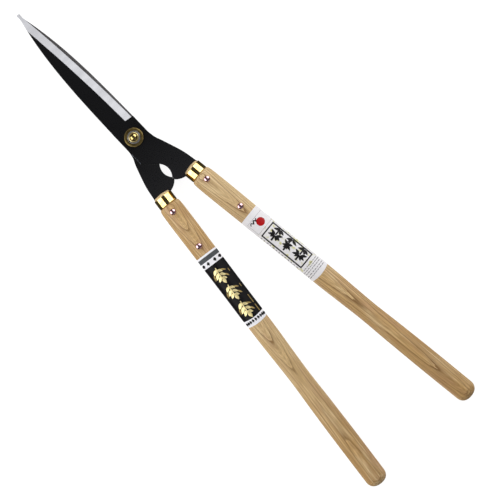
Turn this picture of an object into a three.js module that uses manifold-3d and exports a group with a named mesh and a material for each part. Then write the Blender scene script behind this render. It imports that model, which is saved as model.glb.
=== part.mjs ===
// Hedge shears: two forged blades crossed on a bolt pivot, each with a tang riveted into a wooden
// handle behind a brass ferrule.
//
// Units are millimetres. +Y runs from the pivot to the blade tips, +Z out of the front face and +X to
// the right when the front faces the viewer. The origin is on the pivot axis, at the flat back face of
// the pivot bolt's head. The shears are drawn closed, with the two stop lobes meeting.

import * as THREE from "three";
import { mergeVertices } from "three/addons/utils/BufferGeometryUtils.js";
import Module from "manifold-3d";

const wasm = await Module();
wasm.setup();

// ---- Driving dimensions ---------------------------------------------------------------------------

const GAP = 0.3; // between pieces that sit against each other
const RUNNING_CLEARANCE = 0.1; // radial, between the turning blade and the pivot bolt
const CUT = 1; // how far a cutting solid runs past the face it cuts

// Blades. Each is a flat plate; its spine and its cutting edge are given by their distance from the
// blade's centre line.
const PLATE = 4.2;
const BLADE_TIP = 199.5;
const BLADE_BASE = -9;
const BLADE_HALF_WIDTH = 16.5;
const SPINE_TAPER = 0.009;
const SPINE_CURL = 9.25;
const SPINE_CURL_AT = 174;
const SPINE_CURL_POWER = 3.4;
const TIP_HALF_WIDTH = 1.9;
const EDGE_HALF_WIDTH = 14.66;
const EDGE_TAPER = 0.01475;
const EDGE_CURL = 0.000265625;
const EDGE_TIP_HALF_WIDTH = 1.6;
const HEEL = 19.8; // where the ground edge starts
const HEEL_SLANT = 0.15; // the heel line's fall per millimetre across the blade
const BEVEL_WIDTH = 8.7;
const EDGE_LAND = 0.3;
const BLADE_OFFSET = 0.37; // the closed blades sit a little to the right of the handles' centre line
const BLADE_LEAN = THREE.MathUtils.degToRad(0.44);

// Necks, stop lobes and the steps that let the two necks lie in one plane.
const STEP_X = 15.9;
const STEP_FOOT = -28.5;
const STEP_HEAD = -12;
const CROTCH = -43;
const EYE_TOP = -43.2;
const EYE_BOTTOM = -64.6;
const EYE_DEPTH = 3.95;
const STOP_BOTTOM = -68.2;

// Handles. Stations along a handle are distances from the point where its axis crosses the X axis.
const HANDLE_ROOT_X = 15.25;
const HANDLE_ANGLE = THREE.MathUtils.degToRad(6.8);
const NOSE_START = 70; // the handle's domed front end, which stands out of the ferrule
const NOSE_DOME = 1.1;
const NOSE_ROUND = 1.9;
const NOSE_FACE_RADIUS = 9;
const FERRULE_START = 73.7;
const FERRULE_END = 86;
const FERRULE_RADIUS = 12;
const FERRULE_WALL = 0.8;
const SPIGOT_RADIUS = FERRULE_RADIUS - FERRULE_WALL - GAP;
const GRIP_START = 87;
const BUTT_START = 487;
const HANDLE_END = 499;
const BUTT_SQUARENESS = 0.85; // 1 would be an ellipse
const GRIP_RADII = [
  [GRIP_START, 12.8],
  [93, 13.6],
  [112, 13.85],
  [150, 13.65],
  [210, 13.3],
  [272, 13.4],
  [312, 12.6],
  [342, 12.1],
  [384, 12.8],
  [430, 13.2],
  [BUTT_START, 13.1],
];
const TANG_WIDTH = 12;
const TANG_TIP_WIDTH = 8;
const TANG_THICKNESS = 5;
const TANG_START = 64;
const TANG_END = 157;

// Rivets through the handles and tangs.
const RIVET_STATIONS = [96, 146.6];
const RIVET_OFFSET = 1.3; // towards the handle's outer side
const RIVET_RADIUS = 2;
const RIVET_HEAD_RADIUS = 3.5;
const RIVET_HEAD_HEIGHT = 1.9;
const RIVET_CLINCH_RADIUS = 2.9;
const RIVET_CLINCH_HEIGHT = 1.2;
const RIVET_SEAT = 12.9; // from the handle's axis
const BURR_RADIUS = 4;
const BURR_THICKNESS = 0.8;
const BURR_SEAT = 12.6;

// Labels wrapped round the handles, from one station to the other.
const LABEL_THICKNESS = 0.3;
const LABEL_GAP = 0.2;
const LEFT_LABEL = [158.5, 258.7];
const RIGHT_LABEL = [160.2, 268.8];

// Pivot hardware.
const HEAD_HEIGHT = 3;
const HEAD_RADIUS = 9.5;
const HEAD_FACE_RADIUS = 8;
const BOLT_RADIUS = 4;
const BOLT_SQUARE = 8.4;
const BOLT_DOME_HEIGHT = 1.7;
const CUP_RADIUS = 11.4;
const CUP_HEIGHT = 2.3;
const CUP_FLOOR = 1;
const SPRING_RADIUS = 7.8;
const SPRING_THICKNESS = 1.6;
const SPRING_SPLIT = 1.2;
const NUT_RADIUS = 6.1;
const NUT_HEIGHT = 3.2;

const MEET_Z = HEAD_HEIGHT + GAP + PLATE + GAP / 2; // the plane between the two blades
const HALF_THICKNESS = GAP / 2 + PLATE; // from that plane to a neck's face
const FRONT_Z = MEET_Z + HALF_THICKNESS;

const ROUND_SEGMENTS = 36;
const HANDLE_SEGMENTS = 24;
const RIVET_SEGMENTS = 16;

// ---- Materials ------------------------------------------------------------------------------------

const material = (color, roughness, metalness) =>
  new THREE.MeshStandardMaterial({ color, roughness, metalness });

const MATERIALS = {
  forging: material(0x1b1c1e, 0.5, 0.6),
  brass: material(0xc8a050, 0.25, 1),
  bronze: material(0x6e5730, 0.4, 1),
  steel: material(0xa8a8a8, 0.35, 1),
  rivet: material(0xd8c4c0, 0.2, 1),
  wood: material(0xc8a878, 0.65, 0),
  blackPaper: material(0x17171a, 0.3, 0),
  whitePaper: material(0xd8d6cc, 0.4, 0),
};

// ---- From geometries to solids and back -----------------------------------------------------------

const shift = (x, y, z) => new THREE.Matrix4().makeTranslation(x, y, z);

function solidOf(geometry, matrix = new THREE.Matrix4()) {
  const bare = geometry.clone().applyMatrix4(matrix);
  bare.deleteAttribute("normal");
  bare.deleteAttribute("uv");
  const merged = mergeVertices(bare, 1e-4);
  const corners = merged.index.array;
  const kept = [];
  for (let i = 0; i < corners.length; i += 3) {
    const [a, b, c] = corners.slice(i, i + 3);
    if (a !== b && b !== c && c !== a) kept.push(a, b, c);
  }
  const make = (triVerts) =>
    new wasm.Manifold(
      new wasm.Mesh({
        numProp: 3,
        vertProperties: merged.attributes.position.array,
        triVerts: new Uint32Array(triVerts),
      }),
    );
  const made = make(kept);
  return made.volume() < 0 ? make(kept.reverse()) : made;
}

function geometryOf(solid) {
  const { vertProperties, triVerts, numProp } = solid.getMesh();
  const geometry = new THREE.BufferGeometry();
  const stored = new THREE.InterleavedBuffer(vertProperties, numProp);
  geometry.setAttribute("position", new THREE.InterleavedBufferAttribute(stored, 3, 0));
  geometry.setIndex(new THREE.BufferAttribute(triVerts, 1));
  const flat = geometry.toNonIndexed();
  flat.computeVertexNormals();
  return flat;
}

function piece(name, solid, finish) {
  const mesh = new THREE.Mesh(geometryOf(solid), MATERIALS[finish]);
  mesh.name = name;
  return mesh;
}

// ---- Basic shapes ---------------------------------------------------------------------------------

const points = (pairs) => pairs.map(([x, y]) => new THREE.Vector2(x, y));

const outline = (pairs) => new THREE.Shape(points(pairs));

// A flat outline given depth between two heights.
function prism(shape, low, high) {
  const options = { depth: high - low, bevelEnabled: false, curveSegments: 10 };
  return solidOf(new THREE.ExtrudeGeometry(shape, options), shift(0, 0, low));
}

// A profile of [radius, height] pairs turned about the Z axis.
function turned(profile, segments) {
  const upright = new THREE.Matrix4().makeRotationX(Math.PI / 2);
  return solidOf(new THREE.LatheGeometry(points(profile), segments), upright);
}

// A profile of [radius, station] pairs turned about a handle's axis, which runs down the -Y axis.
function turnedOnHandle(profile) {
  const along = profile.map(([radius, station]) => [radius, -station]).reverse();
  return solidOf(new THREE.LatheGeometry(points(along), HANDLE_SEGMENTS));
}

function pin(radius, low, high, segments = ROUND_SEGMENTS) {
  return turned([[0, low], [radius, low], [radius, high], [0, high]], segments);
}

function block(width, length, height, x, y, z) {
  return solidOf(new THREE.BoxGeometry(width, length, height), shift(x, y, z));
}

// A quarter ellipse as pairs, from a point on the first axis to a point on the second.
function quarter(centreA, centreB, sizeA, sizeB, steps) {
  const pairs = [];
  for (let i = 0; i <= steps; i++) {
    const angle = ((Math.PI / 2) * i) / steps;
    pairs.push([centreA + sizeA * Math.cos(angle), centreB + sizeB * Math.sin(angle)]);
  }
  return pairs;
}

// ---- Blades ---------------------------------------------------------------------------------------

function spineAt(y) {
  const curl = SPINE_CURL * (Math.max(y, 0) / SPINE_CURL_AT) ** SPINE_CURL_POWER;
  return Math.max(BLADE_HALF_WIDTH - SPINE_TAPER * Math.max(y, 0) - curl, TIP_HALF_WIDTH);
}

function edgeAt(y) {
  return Math.max(EDGE_HALF_WIDTH - EDGE_TAPER * y - EDGE_CURL * y * y, EDGE_TIP_HALF_WIDTH);
}

const stations = (from, to, count) =>
  Array.from({ length: count + 1 }, (_, i) => from + ((to - from) * i) / count);

function bladeOutline() {
  const heelDrop = HEEL_SLANT * (BLADE_HALF_WIDTH - edgeAt(HEEL));
  const spine = stations(40, 192, 12).map((y) => [-spineAt(y), y]);
  const edge = stations(BLADE_TIP, HEEL, 11).map((y) => [edgeAt(y), y]);
  return outline([
    [-BLADE_HALF_WIDTH, BLADE_BASE],
    [-BLADE_HALF_WIDTH, 0],
    ...spine,
    [-TIP_HALF_WIDTH, BLADE_TIP],
    ...edge,
    [BLADE_HALF_WIDTH, HEEL - heelDrop],
    [BLADE_HALF_WIDTH, BLADE_BASE],
  ]);
}

// The steel ground away to leave the bevel: a wedge swept along the cutting edge.
function bevelWaste() {
  const rise = (PLATE - EDGE_LAND) / BEVEL_WIDTH;
  const inset = BEVEL_WIDTH * 1.3;
  const outset = 2;
  const wedge = [
    [outset, -outset * rise],
    [-inset, inset * rise],
    [outset, inset * rise],
  ];
  const section = outline(wedge.map(([right, up]) => [-up, -right]));
  const edgeHeight = GAP / 2 + EDGE_LAND;
  const route = stations(HEEL - 10, BLADE_TIP + 5, 12).map(
    (y) => new THREE.Vector3(edgeAt(y), y, edgeHeight),
  );
  const extrudePath = new THREE.CatmullRomCurve3(route);
  const swept = solidOf(new THREE.ExtrudeGeometry(section, { extrudePath, steps: 16 }));
  const reach = 2 * BLADE_HALF_WIDTH;
  const heelLine = (x) => HEEL + HEEL_SLANT * (edgeAt(HEEL) - x);
  const zone = outline([
    [-reach, heelLine(-reach)],
    [reach, heelLine(reach)],
    [reach, BLADE_TIP + 10],
    [-reach, BLADE_TIP + 10],
  ]);
  return swept.intersect(prism(zone, -PLATE, 3 * PLATE));
}

// A blade in the shears' own plane, its spine on the left. The lean is to the right when positive.
function bladePlate(offset, lean) {
  const plate = prism(bladeOutline(), GAP / 2, HALF_THICKNESS).subtract(bevelWaste());
  const place = shift(offset, 0, 0).multiply(new THREE.Matrix4().makeRotationZ(-lean));
  return plate.transform(place.elements);
}

// ---- Necks ----------------------------------------------------------------------------------------

// The neck of the half whose handle is on the right, with its stop lobe towards the centre line. It
// meets the blade's side, which the blade's offset moves.
function neckOutline(offset) {
  const halfEye = (EYE_TOP - EYE_BOTTOM) / 2;
  const eyeRadius = (halfEye ** 2 + EYE_DEPTH ** 2) / (2 * EYE_DEPTH);
  const eyeCentreX = GAP / 2 + EYE_DEPTH - eyeRadius;
  const eyeAngle = Math.asin(halfEye / eyeRadius);
  const shape = new THREE.Shape();
  shape.moveTo(-STEP_X, 0);
  shape.lineTo(-STEP_X, STEP_FOOT);
  shape.lineTo(0, CROTCH);
  shape.absarc(eyeCentreX, EYE_BOTTOM + halfEye, eyeRadius, eyeAngle, -eyeAngle, true);
  shape.lineTo(GAP / 2, STOP_BOTTOM);
  shape.quadraticCurveTo(4.4, -73.4, 13.4, -75.2);
  shape.lineTo(34.6, -73);
  const bladeSide = BLADE_HALF_WIDTH + offset;
  shape.splineThru(
    points([[33.3, -66], [31.5, -56], [28.8, -46], [22, -26], [18 + offset, -16], [bladeSide, -9]]),
  );
  shape.lineTo(bladeSide, 0);
  return shape;
}

// What is cut from a neck's back half, so that the other half's plate can lie there. Its boundary
// keeps the gap to the other neck's step.
function stepWaste() {
  const run = Math.hypot(STEP_X, CROTCH - STEP_FOOT);
  const stepX = STEP_X + GAP;
  const footDrop = (GAP * (run - (STEP_FOOT - CROTCH))) / STEP_X;
  const crotch = [(GAP * (STEP_FOOT - CROTCH)) / run, CROTCH - (GAP * STEP_X) / run];
  const reach = 60;
  return prism(
    outline([
      [-reach, -BLADE_BASE],
      [reach, -BLADE_BASE],
      [reach, STEP_HEAD],
      [stepX, STEP_HEAD],
      [stepX, STEP_FOOT - footDrop],
      crotch,
      [-reach, crotch[1]],
    ]),
    -HALF_THICKNESS - CUT,
    GAP / 2,
  );
}

// From a handle's frame to the shears' frame, for the handle on the right.
const handlePlace = shift(HANDLE_ROOT_X, 0, 0).multiply(
  new THREE.Matrix4().makeRotationZ(HANDLE_ANGLE),
);

// The domed front end of a handle, grown by a clearance.
function noseProfile(clearance) {
  const corner = quarter(
    NOSE_FACE_RADIUS,
    NOSE_START + NOSE_DOME + NOSE_ROUND,
    SPIGOT_RADIUS - NOSE_FACE_RADIUS + clearance,
    -NOSE_ROUND - clearance,
    4,
  ).reverse();
  const middle = [NOSE_FACE_RADIUS / 2, NOSE_START + NOSE_DOME / 4 - clearance];
  return [[0, NOSE_START - clearance], middle, ...corner];
}

// What a neck leaves free for the handle's nose and the ferrule behind it.
function handleRoom() {
  const mouth = FERRULE_START - GAP;
  return turnedOnHandle([
    ...noseProfile(GAP),
    [SPIGOT_RADIUS + GAP, mouth],
    [FERRULE_RADIUS + GAP, mouth],
    [FERRULE_RADIUS + GAP, FERRULE_END],
    [0, FERRULE_END],
  ]);
}

function tang() {
  const half = TANG_WIDTH / 2;
  const tipHalf = TANG_TIP_WIDTH / 2;
  const shape = outline([
    [-half, -TANG_START],
    [half, -TANG_START],
    [half, -TANG_END + 45],
    [tipHalf, -TANG_END],
    [-tipHalf, -TANG_END],
    [-half, -TANG_END + 45],
  ]);
  return prism(shape, -TANG_THICKNESS / 2, TANG_THICKNESS / 2);
}

function rivetHoles(outer) {
  const radius = RIVET_RADIUS + GAP;
  const reach = 20;
  const holes = RIVET_STATIONS.map((station) =>
    pin(radius, -reach, reach, RIVET_SEGMENTS).translate([outer * RIVET_OFFSET, -station, 0]),
  );
  return wasm.Manifold.union(holes);
}

// One forged half: blade, neck, stop lobe and tang in one piece of steel.
function forging(offset, lean, pivotHole) {
  const neck = prism(neckOutline(offset), -HALF_THICKNESS, HALF_THICKNESS).subtract(stepWaste());
  return bladePlate(offset, lean)
    .add(neck)
    .subtract(handleRoom().transform(handlePlace.elements))
    .add(tang().transform(handlePlace.elements))
    .subtract(rivetHoles(1).transform(handlePlace.elements))
    .subtract(pivotHole);
}

function frontBlade() {
  const bore = pin(BOLT_RADIUS + RUNNING_CLEARANCE, -CUT, HALF_THICKNESS + CUT);
  const mesh = piece("front_blade", forging(BLADE_OFFSET, BLADE_LEAN, bore), "forging");
  mesh.position.z = MEET_Z;
  return mesh;
}

// The rear half is the same forging turned over, with a square hole that keeps the bolt from turning.
function rearBlade() {
  const side = BOLT_SQUARE + 2 * GAP;
  const square = block(side, side, 4 * PLATE, 0, 0, 0);
  const mesh = piece("rear_blade", forging(-BLADE_OFFSET, -BLADE_LEAN, square), "forging");
  mesh.rotation.y = Math.PI;
  mesh.position.z = MEET_Z;
  return mesh;
}

// ---- Pivot hardware -------------------------------------------------------------------------------

function pivotBolt(nutTop) {
  const shankTop = nutTop + 0.4;
  const head = turned(
    [
      [0, 0],
      [HEAD_FACE_RADIUS, 0],
      ...quarter(
        HEAD_FACE_RADIUS,
        HEAD_HEIGHT / 2,
        HEAD_RADIUS - HEAD_FACE_RADIUS,
        -HEAD_HEIGHT / 2,
        4,
      ).reverse(),
      [HEAD_RADIUS, HEAD_HEIGHT],
      [0, HEAD_HEIGHT],
    ],
    ROUND_SEGMENTS,
  );
  const shank = turned(
    [
      [0, HEAD_HEIGHT / 2],
      [BOLT_RADIUS, HEAD_HEIGHT / 2],
      ...quarter(0, shankTop, BOLT_RADIUS, BOLT_DOME_HEIGHT, 6),
    ],
    ROUND_SEGMENTS,
  );
  const squareHeight = GAP + PLATE;
  const square = block(
    BOLT_SQUARE,
    BOLT_SQUARE,
    squareHeight,
    0,
    0,
    HEAD_HEIGHT + squareHeight / 2 - 0.05,
  );
  return piece("pivot_bolt", head.add(square).add(shank), "brass");
}

// A dished washer whose rim stands up round the nut.
function pivotCup(low) {
  const bore = BOLT_RADIUS + GAP;
  const profile = [
    [bore, low],
    [CUP_RADIUS - 1.6, low],
    [CUP_RADIUS - 0.3, low + 0.8],
    [CUP_RADIUS, low + CUP_HEIGHT - 0.3],
    [CUP_RADIUS - 0.4, low + CUP_HEIGHT],
    [CUP_RADIUS - 1, low + CUP_HEIGHT - 0.3],
    [CUP_RADIUS - 2.2, low + CUP_FLOOR + 0.15],
    [CUP_RADIUS - 3.2, low + CUP_FLOOR],
    [bore, low + CUP_FLOOR],
    [bore, low],
  ];
  return piece("pivot_cup_washer", turned(profile, ROUND_SEGMENTS), "bronze");
}

function springWasher(low) {
  const bore = BOLT_RADIUS + GAP;
  const high = low + SPRING_THICKNESS;
  const ring = turned(
    [[bore, low], [SPRING_RADIUS, low], [SPRING_RADIUS, high], [bore, high], [bore, low]],
    ROUND_SEGMENTS,
  );
  const split = block(2 * SPRING_RADIUS, SPRING_SPLIT, 4 * SPRING_THICKNESS, -SPRING_RADIUS, 0, low);
  return piece("pivot_spring_washer", ring.subtract(split), "steel");
}

function pivotNut(low) {
  const bore = BOLT_RADIUS + GAP;
  const high = low + NUT_HEIGHT;
  const profile = [
    [bore, low],
    [NUT_RADIUS, low],
    [NUT_RADIUS, high - 0.9],
    [NUT_RADIUS - 0.9, high],
    [bore + 0.7, high],
    [bore, high - 1.1],
    [bore, low],
  ];
  return piece("pivot_nut", turned(profile, ROUND_SEGMENTS), "brass");
}

// ---- Handles --------------------------------------------------------------------------------------

const gripCurve = new THREE.SplineCurve(
  GRIP_RADII.map(([station, radius]) => new THREE.Vector2(station, radius)),
);

// The grip's radius at a station, from the profile that the handle is turned to.
function gripProfile(steps) {
  return gripCurve.getPoints(steps).map(({ x, y }) => [y, x]);
}

function gripRadius(station) {
  const profile = gripProfile(200);
  const next = profile.findIndex(([, at]) => at >= station);
  const [radiusA, stationA] = profile[next - 1];
  const [radiusB, stationB] = profile[next];
  return radiusA + ((radiusB - radiusA) * (station - stationA)) / (stationB - stationA);
}

// The rounded butt, from the grip's full radius to the axis.
function buttProfile(steps) {
  const radius = GRIP_RADII[GRIP_RADII.length - 1][1];
  const length = HANDLE_END - BUTT_START;
  return stations(Math.PI / 2, 0, steps)
    .slice(1)
    .map((angle) => [
      radius * Math.sin(angle) ** BUTT_SQUARENESS,
      BUTT_START + length * Math.cos(angle) ** BUTT_SQUARENESS,
    ]);
}

function handle(name, outer) {
  const shoulderStart = FERRULE_END + GAP;
  const wood = turnedOnHandle([
    ...noseProfile(0),
    [SPIGOT_RADIUS, shoulderStart],
    [FERRULE_RADIUS + 0.2, shoulderStart],
    ...gripProfile(14),
    ...buttProfile(6),
  ]);
  const slotStart = NOSE_START - CUT;
  const slotEnd = TANG_END + 2;
  const slot = block(
    TANG_WIDTH + 2 * GAP,
    slotEnd - slotStart,
    TANG_THICKNESS + 2 * GAP,
    0,
    -(slotStart + slotEnd) / 2,
    0,
  );
  const seats = RIVET_STATIONS.flatMap((station) => {
    const front = pin(RIVET_HEAD_RADIUS + GAP, RIVET_SEAT, RIVET_SEAT + 5, RIVET_SEGMENTS);
    const back = pin(BURR_RADIUS + GAP, -BURR_SEAT - 5, -BURR_SEAT, RIVET_SEGMENTS);
    return [front, back].map((seat) => seat.translate([outer * RIVET_OFFSET, -station, 0]));
  });
  const cuts = wasm.Manifold.union([slot, rivetHoles(outer), ...seats]);
  return piece(name, wood.subtract(cuts), "wood");
}

// A brass sleeve round the handle's front end, with a rolled lip at its rear.
function ferrule(name) {
  const bore = FERRULE_RADIUS - FERRULE_WALL;
  const sleeve = turnedOnHandle([
    [bore, FERRULE_START],
    [FERRULE_RADIUS - 0.3, FERRULE_START],
    [FERRULE_RADIUS, FERRULE_START + 0.3],
    [FERRULE_RADIUS, FERRULE_END - 1.2],
    [FERRULE_RADIUS + 0.25, FERRULE_END - 0.8],
    [FERRULE_RADIUS + 0.25, FERRULE_END - 0.2],
    [FERRULE_RADIUS, FERRULE_END],
    [bore, FERRULE_END],
    [bore, FERRULE_START],
  ]);
  return piece(name, sleeve, "brass");
}

// A domed head on the front, and a clinched end over the burr on the back.
function rivet(name) {
  const headLow = RIVET_SEAT + GAP;
  const clinchHigh = -(BURR_SEAT + BURR_THICKNESS + 2 * GAP);
  const dome = quarter(0, headLow + 0.4, RIVET_HEAD_RADIUS, RIVET_HEAD_HEIGHT - 0.4, 5);
  dome[dome.length - 1][0] = 0;
  const clinch = quarter(0, clinchHigh, RIVET_CLINCH_RADIUS, -RIVET_CLINCH_HEIGHT, 3).reverse();
  clinch[0][0] = 0;
  const profile = [
    ...clinch,
    [RIVET_RADIUS, clinchHigh],
    [RIVET_RADIUS, headLow],
    [RIVET_HEAD_RADIUS, headLow],
    ...dome,
  ];
  return piece(name, turned(profile, RIVET_SEGMENTS), "rivet");
}

function burr(name) {
  const bore = RIVET_RADIUS + GAP;
  const high = -BURR_SEAT - GAP;
  const low = high - BURR_THICKNESS;
  const profile = [
    [bore, low],
    [BURR_RADIUS - 0.2, low],
    [BURR_RADIUS, low + 0.2],
    [BURR_RADIUS, high],
    [bore, high],
    [bore, low],
  ];
  return piece(name, turned(profile, RIVET_SEGMENTS), "rivet");
}

function label(name, [start, end], finish) {
  const around = stations(start, end, 3);
  const inner = around.map((station) => [gripRadius(station) + LABEL_GAP, station]);
  const outer = inner.map(([radius, station]) => [radius + LABEL_THICKNESS, station]);
  return piece(name, turnedOnHandle([...outer, ...inner.reverse(), outer[0]]), finish);
}

// A handle with everything fastened to it. Side is 1 for the right handle and -1 for the left.
function handleGroup(side, word, labelSpan, labelFinish) {
  const group = new THREE.Group();
  group.position.set(side * HANDLE_ROOT_X, 0, MEET_Z);
  group.rotation.z = side * HANDLE_ANGLE;
  group.add(handle(`${word}_handle`, side));
  group.add(ferrule(`${word}_ferrule`));
  group.add(label(`${word}_label`, labelSpan, labelFinish));
  RIVET_STATIONS.forEach((station, i) => {
    const spot = [rivet(`${word}_rivet_${i + 1}`), burr(`${word}_burr_${i + 1}`)];
    spot.forEach((mesh) => mesh.position.set(side * RIVET_OFFSET, -station, 0));
    group.add(...spot);
  });
  return group;
}

// ---- The shears -----------------------------------------------------------------------------------

const cupZ = FRONT_Z + GAP;
const springZ = cupZ + CUP_FLOOR + GAP;
const nutZ = springZ + SPRING_THICKNESS + GAP;

const rearHalf = new THREE.Group();
rearHalf.add(rearBlade(), handleGroup(-1, "left", LEFT_LABEL, "blackPaper"));
rearHalf.add(pivotBolt(nutZ + NUT_HEIGHT), pivotCup(cupZ), springWasher(springZ), pivotNut(nutZ));

const frontHalf = new THREE.Group();
frontHalf.add(frontBlade(), handleGroup(1, "right", RIGHT_LABEL, "whitePaper"));

const group = new THREE.Group();
group.add(rearHalf, frontHalf);

export default group;
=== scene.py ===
"""Hedge shears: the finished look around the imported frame.

Lengths in this file are millimetres until a mesh is made; Blender's own units are metres. A station is
a distance down a handle's axis from the point where that axis crosses the X axis.
"""

import contextlib
import math
import random

import bmesh
import bpy
from mathutils import Matrix, Vector


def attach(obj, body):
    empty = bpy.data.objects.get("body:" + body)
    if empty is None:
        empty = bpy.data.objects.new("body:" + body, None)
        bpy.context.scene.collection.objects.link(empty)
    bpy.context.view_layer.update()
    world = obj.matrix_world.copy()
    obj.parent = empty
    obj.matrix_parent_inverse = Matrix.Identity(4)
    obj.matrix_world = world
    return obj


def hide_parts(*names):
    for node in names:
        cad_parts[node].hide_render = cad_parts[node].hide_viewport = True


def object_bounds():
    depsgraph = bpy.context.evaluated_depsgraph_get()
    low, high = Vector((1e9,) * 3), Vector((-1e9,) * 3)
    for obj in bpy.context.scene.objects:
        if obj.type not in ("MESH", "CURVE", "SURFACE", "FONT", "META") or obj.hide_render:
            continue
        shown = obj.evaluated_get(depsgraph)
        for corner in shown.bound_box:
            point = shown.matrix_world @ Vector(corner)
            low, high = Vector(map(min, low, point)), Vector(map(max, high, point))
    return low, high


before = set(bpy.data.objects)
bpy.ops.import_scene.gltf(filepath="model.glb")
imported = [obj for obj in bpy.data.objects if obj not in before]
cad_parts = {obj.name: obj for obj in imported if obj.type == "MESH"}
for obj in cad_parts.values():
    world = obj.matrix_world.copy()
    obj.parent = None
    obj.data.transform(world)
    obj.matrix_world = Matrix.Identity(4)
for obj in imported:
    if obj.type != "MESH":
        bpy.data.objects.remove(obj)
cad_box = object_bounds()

random.seed(7)
MM = 0.001

# ---- Dimensions ----

GAP = 0.3  # the clearance between two pieces
MEET_Z = 7.65  # the plane between the two blades
PLATE = 4.2
HALF_THICKNESS = GAP / 2 + PLATE  # from that plane to a blade's outer face

# The blades. Y runs along them from the pivot, and a half width is a distance from a blade's own middle.
BLADE_TIP = 199.5
BLADE_BASE = -9
BLADE_HALF_WIDTH = 16.5
SPINE_TAPER = 0.009
SPINE_SWEEP = 9.25  # how far the spine has swept in beyond its taper at SPINE_SWEEP_AT
SPINE_SWEEP_AT = 174
SPINE_SWEEP_POWER = 3.4
TIP_HALF_WIDTH = 1.9
EDGE_HALF_WIDTH = 14.66
EDGE_TAPER = 0.01475
EDGE_SWEEP = 0.000265625
EDGE_TIP_HALF_WIDTH = 1.6
HEEL = 19.8  # where the cutting edge starts
HEEL_SLANT = 0.15
BEVEL_WIDTH = 8.7
EDGE_LAND = 0.3  # the thickness that grinding leaves at the edge
BLADE_OFFSET = 0.37
BLADE_LEAN = math.radians(0.44)

# The necks, with the step that takes the other blade, the eye and the lobes that stop the closing.
STEP_X = 15.9
STEP_FOOT = -28.5
STEP_HEAD = -12
CROTCH = -43
EYE_TOP = -43.2
EYE_BOTTOM = -64.6
EYE_DEPTH = 3.95
STOP_BOTTOM = -68.2
STOP_GAP = 0.08
LOBE_CONTROL = (4.4, -73.4)
LOBE_END = (13.4, -75.2)
NECK_SIDE = [(34.6, -73), (33.3, -66), (31.5, -56), (28.8, -46), (22, -26)]
BEYOND_NECK = 60  # a distance that reaches past a neck on any side
SOFT_EDGE = 0.4  # how far a neck's edges are rounded
SOFT_END = -13  # they are rounded below this height, and sharp where neck and blade meet

# The handles and what is fixed to them, by stations and radii.
HANDLE_ROOT_X = 15.25
HANDLE_ANGLE = math.radians(6.8)
NOSE_START = 70  # the handle's domed front end, which stands out of the ferrule
NOSE_DOME = 1.1
NOSE_ROUND = 1.9
NOSE_FACE_RADIUS = 9
NOSE_CLEARANCE = 0.06  # between the nose and the neck
FERRULE_START = 73.7
FERRULE_END = 86
FERRULE_RADIUS = 12
FERRULE_WALL = 0.8
FERRULE_EASE = 0.3  # the softened front edge
FERRULE_ROLL = (0.75, 1.3)  # the rolled rear edge
SPIGOT_RADIUS = FERRULE_RADIUS - FERRULE_WALL - GAP
BUTT_START = 487
HANDLE_END = 499
BUTT_SQUARENESS = 0.85
GRIP_RADII = [
    (87, 12.8), (93, 13.6), (112, 13.85), (150, 13.65), (210, 13.3), (272, 13.4),
    (312, 12.6), (342, 12.1), (384, 12.8), (430, 13.2), (BUTT_START, 13.1),
]
TANG_WIDTH = 12
TANG_TIP_WIDTH = 8
TANG_THICKNESS = 5
TANG_START = 64
TANG_END = 157
TANG_TAPER = 45  # the length over which it narrows to its tip

RIVET_STATIONS = (96, 146.6)
RIVET_OFFSET = 1.3
RIVET_RADIUS = 2
RIVET_HEAD_RADIUS = 3.5
RIVET_HEAD_HEIGHT = 1.9
RIVET_HEAD_SIDE = 0.4  # the straight part below the dome
RIVET_EASE = 0.15
RIVET_CLINCH_RADIUS = 2.9
RIVET_CLINCH_HEIGHT = 1.2
RIVET_SEAT = 12.9
BURR_RADIUS = 4
BURR_THICKNESS = 0.8
BURR_EASE = 0.25
BURR_SEAT = 12.6
BEYOND_HANDLE = 20  # a distance from a handle's axis that lies outside it

LABEL_LIFT = 0.12
LABEL_THICKNESS = 0.14
INK_LIFT = 0.05
INK_THICKNESS = 0.04
LABEL_SPANS = {"left": (158.5, 258.7), "right": (160.2, 268.8)}
LABEL_SLOTS = {"left": "black_label", "right": "white_label"}
LABEL_BULGE = 1.8  # how far the front of a label's lower edge hangs down

# The pivot. The back of the bolt's head lies on z = 0.
HEAD_HEIGHT = 3
HEAD_RADIUS = 9.5
HEAD_FACE_RADIUS = 8
HEAD_EASE = 0.3
BOLT_RADIUS = 4
BOLT_SQUARE = 8.4
BOLT_SHOWS = 0.4  # how much of the shank stands out of the nut
BOLT_DOME_HEIGHT = 1.7
CUP_RADIUS = 11.4
CUP_HEIGHT = 2.3
CUP_FLOOR = 1
CUP_LIP = 0.5
CUP_FOOT = (1.6, 0.9)
CUP_POLISHED = 1.15  # how far in from its outside the cup is polished
SPRING_RADIUS = 7.8
SPRING_THICKNESS = 1.6
SPRING_SPLIT = 1.2
SPRING_FOOT_EASE = 0.25
SPRING_TOP_EASE = 0.35
NUT_RADIUS = 6.1
NUT_HEIGHT = 3.2
NUT_FOOT_EASE = 0.2
NUT_ROUND = 1
NUT_MOUTH = (0.7, 1.1)  # the cone that its bore opens in

FRONT_Z = MEET_Z + HALF_THICKNESS
CUP_Z = FRONT_Z + GAP
SPRING_Z = CUP_Z + CUP_FLOOR + GAP
NUT_Z = SPRING_Z + SPRING_THICKNESS + GAP
NUT_TOP = NUT_Z + NUT_HEIGHT

SIDES = {"left": -1, "right": 1}
BODIES = {"left": "rear_half", "right": "front_half"}

# How close together two points or edges are the same one, and which edges are corners.
WELD = 0.004
SEAM = 0.012
FLAT_ANGLE = math.radians(0.3)
CORNER_ANGLE = math.radians(35)

# ---- Curves ----


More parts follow.
